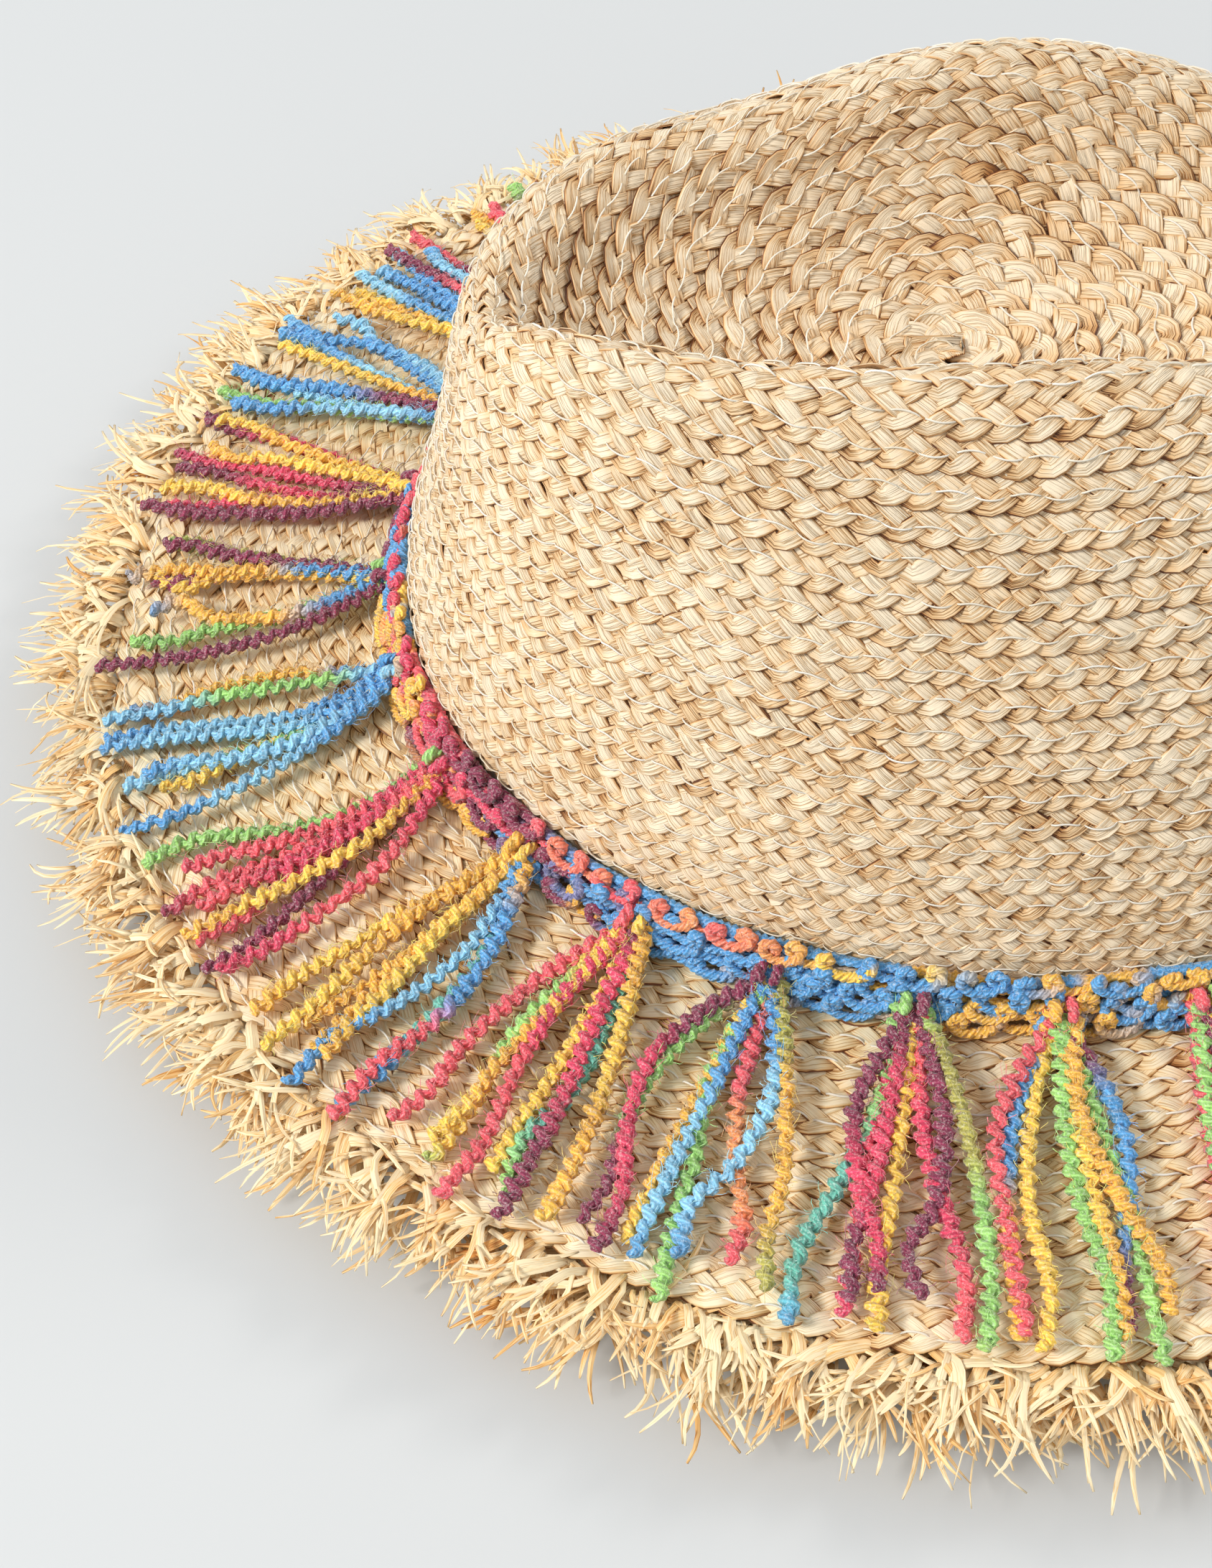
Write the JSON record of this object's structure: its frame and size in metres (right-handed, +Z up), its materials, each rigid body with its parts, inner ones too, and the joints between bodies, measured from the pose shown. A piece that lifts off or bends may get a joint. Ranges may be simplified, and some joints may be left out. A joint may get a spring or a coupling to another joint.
{
  "type": "straw sun hat",
  "caption": "Straw sun hat of sewn plait with a dented oval crown, a flat brim with a frayed raffia edge, a crocheted yarn band and yarn tassels hinged at the band",
  "frame": {"origin": "under the middle of the hat, on the surface that the fringe rests on", "axes": "+X along the head oval from the back of the head to the forehead, +Y to the wearer's left, +Z up out of the crown"},
  "size_m": [0.342, 0.321, 0.104],
  "materials": {
    "straw": "satin plaited straw",
    "raffia": "satin frayed raffia",
    "yarn": "matte space-dyed yarn",
    "cotton": "matte cotton tape",
    "label": "matte woven tab"
  },
  "bodies": {
    "hat": {"crown_wall_braid": "straw", "crown_tip_braid": "straw", "brim_braid": "straw", "brim_edge_braid": "straw", "raffia_fringe": "raffia", "yarn_band": "yarn", "sweatband": "cotton", "care_label": "label"},
    "tassel_01": {"tassel_01": "yarn"},
    "tassel_02": {"tassel_02": "yarn"},
    "tassel_03": {"tassel_03": "yarn"},
    "tassel_04": {"tassel_04": "yarn"},
    "tassel_05": {"tassel_05": "yarn"},
    "tassel_06": {"tassel_06": "yarn"},
    "tassel_07": {"tassel_07": "yarn"},
    "tassel_08": {"tassel_08": "yarn"},
    "tassel_09": {"tassel_09": "yarn"},
    "tassel_10": {"tassel_10": "yarn"},
    "tassel_11": {"tassel_11": "yarn"},
    "tassel_12": {"tassel_12": "yarn"},
    "tassel_13": {"tassel_13": "yarn"},
    "tassel_14": {"tassel_14": "yarn"},
    "tassel_15": {"tassel_15": "yarn"},
    "tassel_16": {"tassel_16": "yarn"},
    "tassel_17": {"tassel_17": "yarn"},
    "tassel_18": {"tassel_18": "yarn"},
    "tassel_19": {"tassel_19": "yarn"},
    "tassel_20": {"tassel_20": "yarn"},
    "tassel_21": {"tassel_21": "yarn"},
    "tassel_22": {"tassel_22": "yarn"},
    "tassel_23": {"tassel_23": "yarn"},
    "tassel_24": {"tassel_24": "yarn"},
    "tassel_25": {"tassel_25": "yarn"},
    "tassel_26": {"tassel_26": "yarn"},
    "tassel_27": {"tassel_27": "yarn"},
    "tassel_28": {"tassel_28": "yarn"}
  },
  "joints": [
    {"name": "tassel_01_lift", "type": "hinge", "parent": "hat", "child": "tassel_01", "pos_m": [0.10573, 0.01364, 0.02019], "axis": [0.17, -0.9854, 0], "range_deg": [0, 40]},
    {"name": "tassel_02_lift", "type": "hinge", "parent": "hat", "child": "tassel_02", "pos_m": [0.09893, 0.03502, 0.02019], "axis": [0.4279, -0.9038, 0], "range_deg": [0, 40]},
    {"name": "tassel_03_lift", "type": "hinge", "parent": "hat", "child": "tassel_03", "pos_m": [0.08679, 0.05396, 0.0202], "axis": [0.6396, -0.7687, 0], "range_deg": [0, 40]},
    {"name": "tassel_04_lift", "type": "hinge", "parent": "hat", "child": "tassel_04", "pos_m": [0.0705, 0.06948, 0.02021], "axis": [0.7969, -0.6041, 0], "range_deg": [0, 40]},
    {"name": "tassel_05_lift", "type": "hinge", "parent": "hat", "child": "tassel_05", "pos_m": [0.05132, 0.08106, 0.02021], "axis": [0.9041, -0.4274, 0], "range_deg": [0, 40]},
    {"name": "tassel_06_lift", "type": "hinge", "parent": "hat", "child": "tassel_06", "pos_m": [0.0304, 0.08859, 0.02022], "axis": [0.9687, -0.2482, 0], "range_deg": [0, 40]},
    {"name": "tassel_07_lift", "type": "hinge", "parent": "hat", "child": "tassel_07", "pos_m": [0.0086, 0.0921, 0.02022], "axis": [0.9976, -0.0695, 0], "range_deg": [0, 40]},
    {"name": "tassel_08_lift", "type": "hinge", "parent": "hat", "child": "tassel_08", "pos_m": [-0.01344, 0.09167, 0.02022], "axis": [0.9941, 0.1087, 0], "range_deg": [0, 40]},
    {"name": "tassel_09_lift", "type": "hinge", "parent": "hat", "child": "tassel_09", "pos_m": [-0.03511, 0.08728, 0.02022], "axis": [0.9577, 0.2876, 0], "range_deg": [0, 40]},
    {"name": "tassel_10_lift", "type": "hinge", "parent": "hat", "child": "tassel_10", "pos_m": [-0.05573, 0.07886, 0.02021], "axis": [0.8844, 0.4667, 0], "range_deg": [0, 40]},
    {"name": "tassel_11_lift", "type": "hinge", "parent": "hat", "child": "tassel_11", "pos_m": [-0.07437, 0.06639, 0.0202], "axis": [0.7669, 0.6418, 0], "range_deg": [0, 40]},
    {"name": "tassel_12_lift", "type": "hinge", "parent": "hat", "child": "tassel_12", "pos_m": [-0.08986, 0.05006, 0.0202], "axis": [0.5976, 0.8018, 0], "range_deg": [0, 40]},
    {"name": "tassel_13_lift", "type": "hinge", "parent": "hat", "child": "tassel_13", "pos_m": [-0.10092, 0.03048, 0.02019], "axis": [0.3745, 0.9272, 0], "range_deg": [0, 40]},
    {"name": "tassel_14_lift", "type": "hinge", "parent": "hat", "child": "tassel_14", "pos_m": [-0.10642, 0.00874, 0.02019], "axis": [0.1092, 0.994, 0], "range_deg": [0, 40]},
    {"name": "tassel_15_lift", "type": "hinge", "parent": "hat", "child": "tassel_15", "pos_m": [-0.10573, -0.01364, 0.02019], "axis": [-0.17, 0.9854, 0], "range_deg": [0, 40]},
    {"name": "tassel_16_lift", "type": "hinge", "parent": "hat", "child": "tassel_16", "pos_m": [-0.09893, -0.03502, 0.02019], "axis": [-0.4279, 0.9038, 0], "range_deg": [0, 40]},
    {"name": "tassel_17_lift", "type": "hinge", "parent": "hat", "child": "tassel_17", "pos_m": [-0.08679, -0.05396, 0.0202], "axis": [-0.6396, 0.7687, 0], "range_deg": [0, 40]},
    {"name": "tassel_18_lift", "type": "hinge", "parent": "hat", "child": "tassel_18", "pos_m": [-0.0705, -0.06948, 0.02021], "axis": [-0.7969, 0.6041, 0], "range_deg": [0, 40]},
    {"name": "tassel_19_lift", "type": "hinge", "parent": "hat", "child": "tassel_19", "pos_m": [-0.05132, -0.08106, 0.02021], "axis": [-0.9041, 0.4274, 0], "range_deg": [0, 40]},
    {"name": "tassel_20_lift", "type": "hinge", "parent": "hat", "child": "tassel_20", "pos_m": [-0.0304, -0.08859, 0.02022], "axis": [-0.9687, 0.2482, 0], "range_deg": [0, 40]},
    {"name": "tassel_21_lift", "type": "hinge", "parent": "hat", "child": "tassel_21", "pos_m": [-0.0086, -0.0921, 0.02022], "axis": [-0.9976, 0.0695, 0], "range_deg": [0, 40]},
    {"name": "tassel_22_lift", "type": "hinge", "parent": "hat", "child": "tassel_22", "pos_m": [0.01344, -0.09167, 0.02022], "axis": [-0.9941, -0.1087, 0], "range_deg": [0, 40]},
    {"name": "tassel_23_lift", "type": "hinge", "parent": "hat", "child": "tassel_23", "pos_m": [0.03511, -0.08728, 0.02022], "axis": [-0.9577, -0.2876, 0], "range_deg": [0, 40]},
    {"name": "tassel_24_lift", "type": "hinge", "parent": "hat", "child": "tassel_24", "pos_m": [0.05573, -0.07886, 0.02021], "axis": [-0.8844, -0.4667, 0], "range_deg": [0, 40]},
    {"name": "tassel_25_lift", "type": "hinge", "parent": "hat", "child": "tassel_25", "pos_m": [0.07437, -0.06639, 0.0202], "axis": [-0.7669, -0.6418, 0], "range_deg": [0, 40]},
    {"name": "tassel_26_lift", "type": "hinge", "parent": "hat", "child": "tassel_26", "pos_m": [0.08986, -0.05006, 0.0202], "axis": [-0.5976, -0.8018, 0], "range_deg": [0, 40]},
    {"name": "tassel_27_lift", "type": "hinge", "parent": "hat", "child": "tassel_27", "pos_m": [0.10092, -0.03048, 0.02019], "axis": [-0.3745, -0.9272, 0], "range_deg": [0, 40]},
    {"name": "tassel_28_lift", "type": "hinge", "parent": "hat", "child": "tassel_28", "pos_m": [0.10642, -0.00874, 0.02019], "axis": [-0.1092, -0.994, 0], "range_deg": [0, 40]}
  ]
}
